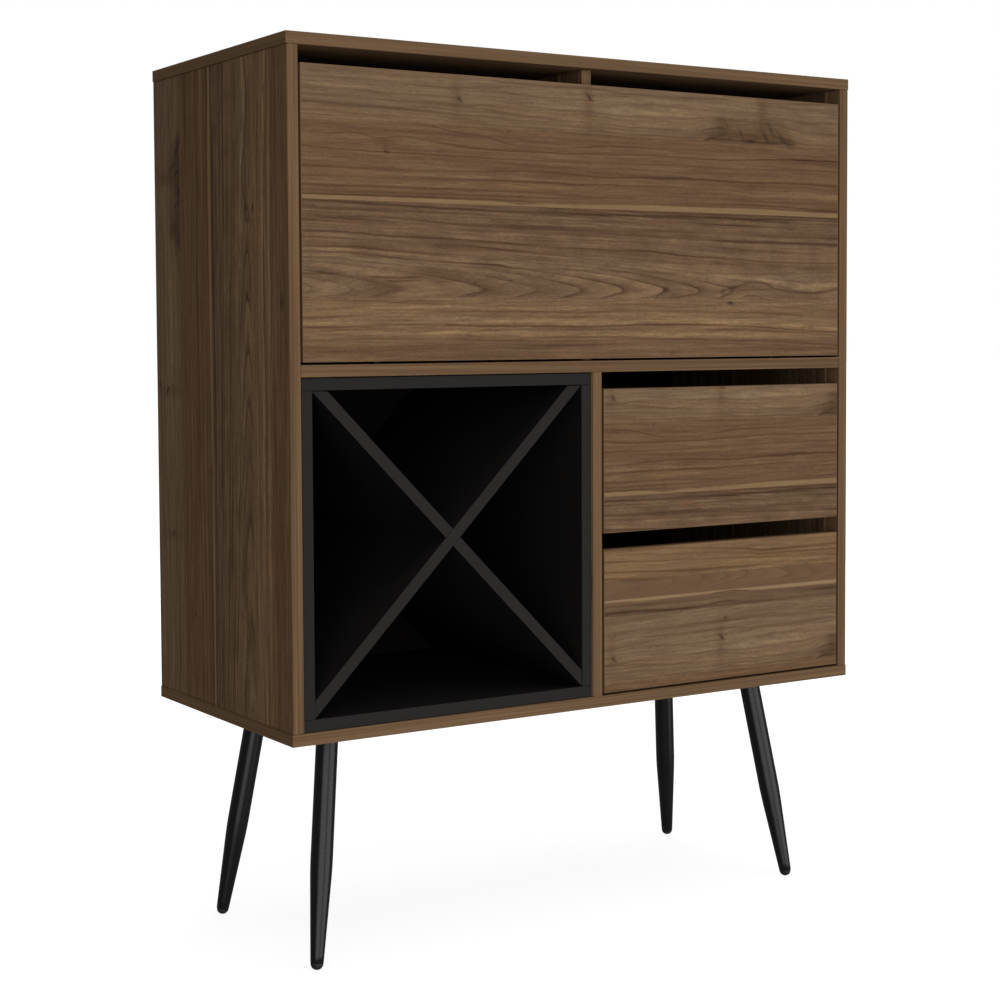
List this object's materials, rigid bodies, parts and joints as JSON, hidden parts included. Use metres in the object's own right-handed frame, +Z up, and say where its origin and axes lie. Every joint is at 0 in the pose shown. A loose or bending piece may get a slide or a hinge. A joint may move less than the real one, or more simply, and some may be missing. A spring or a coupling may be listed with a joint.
{
  "type": "wine cabinet",
  "caption": "Walnut-finish wine and bar cabinet on splayed round legs: fall-front flap above, crossed bottle rack at the left, stacked drawers at the right.",
  "frame": {"origin": "on the floor below the middle of the cabinet", "axes": "+X to the right seen from the front, -Y out of the front with the flap and drawers, +Z up"},
  "size_m": [0.9016, 0.4, 1.16],
  "materials": {
    "walnut_board": "satin walnut decor",
    "black_board": "matt black decor",
    "back_board": "matt dark hardboard",
    "drawer_board": "matt dark walnut decor",
    "leg_black": "satin black",
    "leg_plate_steel": "satin black",
    "foot_plastic": "matt black",
    "zinc_steel": "zinc plated",
    "rail_steel": "zinc plated"
  },
  "bodies": {
    "cabinet": {"top_panel": "walnut_board", "bottom_panel": "walnut_board", "left_side_panel": "walnut_board", "right_side_panel": "walnut_board", "middle_shelf": "walnut_board", "upper_divider": "walnut_board", "lower_divider": "walnut_board", "rack_top_board": "black_board", "rack_bottom_board": "black_board", "rack_left_board": "black_board", "rack_right_board": "black_board", "rack_rising_board": "black_board", "rack_falling_board": "black_board", "back_panel": "back_board", "left_hinge_cup": "zinc_steel", "left_stay_stud": "zinc_steel", "left_flap_catch": "foot_plastic", "right_hinge_cup": "zinc_steel", "right_stay_stud": "zinc_steel", "right_flap_catch": "foot_plastic", "upper_drawer_left_cabinet_rail": "rail_steel", "upper_drawer_right_cabinet_rail": "rail_steel", "lower_drawer_left_cabinet_rail": "rail_steel", "lower_drawer_right_cabinet_rail": "rail_steel", "front_left_leg_plate": "leg_plate_steel", "front_left_leg_tube": "leg_black", "front_left_leg_foot": "foot_plastic", "front_right_leg_plate": "leg_plate_steel", "front_right_leg_tube": "leg_black", "front_right_leg_foot": "foot_plastic", "back_left_leg_plate": "leg_plate_steel", "back_left_leg_tube": "leg_black", "back_left_leg_foot": "foot_plastic", "back_right_leg_plate": "leg_plate_steel", "back_right_leg_tube": "leg_black", "back_right_leg_foot": "foot_plastic"},
    "flap": {"flap_panel": "walnut_board", "left_hinge_arm": "zinc_steel", "right_hinge_arm": "zinc_steel", "left_stay_bracket": "zinc_steel", "right_stay_bracket": "zinc_steel", "left_catch_plate": "zinc_steel", "right_catch_plate": "zinc_steel"},
    "left_stay_arm": {"left_stay_arm": "zinc_steel"},
    "right_stay_arm": {"right_stay_arm": "zinc_steel"},
    "upper_drawer": {"upper_drawer_front": "walnut_board", "upper_drawer_left_side": "drawer_board", "upper_drawer_right_side": "drawer_board", "upper_drawer_back": "drawer_board", "upper_drawer_bottom": "back_board", "upper_drawer_left_drawer_rail": "rail_steel", "upper_drawer_right_drawer_rail": "rail_steel"},
    "lower_drawer": {"lower_drawer_front": "walnut_board", "lower_drawer_left_side": "drawer_board", "lower_drawer_right_side": "drawer_board", "lower_drawer_back": "drawer_board", "lower_drawer_bottom": "back_board", "lower_drawer_left_drawer_rail": "rail_steel", "lower_drawer_right_drawer_rail": "rail_steel"}
  },
  "joints": [
    {"name": "flap_hinge", "type": "hinge", "parent": "cabinet", "child": "flap", "pos_m": [0, -0.1928, 0.7547], "axis": [1, 0, 0], "range_deg": [0, 90]},
    {"name": "left_stay_pivot", "type": "hinge", "parent": "flap", "child": "left_stay_arm", "pos_m": [-0.4331, -0.175, 0.90364], "axis": [1, 0, 0], "range_deg": [-45, 0]},
    {"name": "right_stay_pivot", "type": "hinge", "parent": "flap", "child": "right_stay_arm", "pos_m": [0.4331, -0.175, 0.90364], "axis": [1, 0, 0], "range_deg": [-45, 0]},
    {"name": "upper_drawer_slide", "type": "slide", "parent": "cabinet", "child": "upper_drawer", "axis": [0, -1, 0], "range_m": [0, 0.27]},
    {"name": "lower_drawer_slide", "type": "slide", "parent": "cabinet", "child": "lower_drawer", "axis": [0, -1, 0], "range_m": [0, 0.27]}
  ],
  "couplings": [
    {"joint": "left_stay_pivot", "follows": "flap_hinge", "ratio": -0.5},
    {"joint": "right_stay_pivot", "follows": "flap_hinge", "ratio": -0.5}
  ]
}
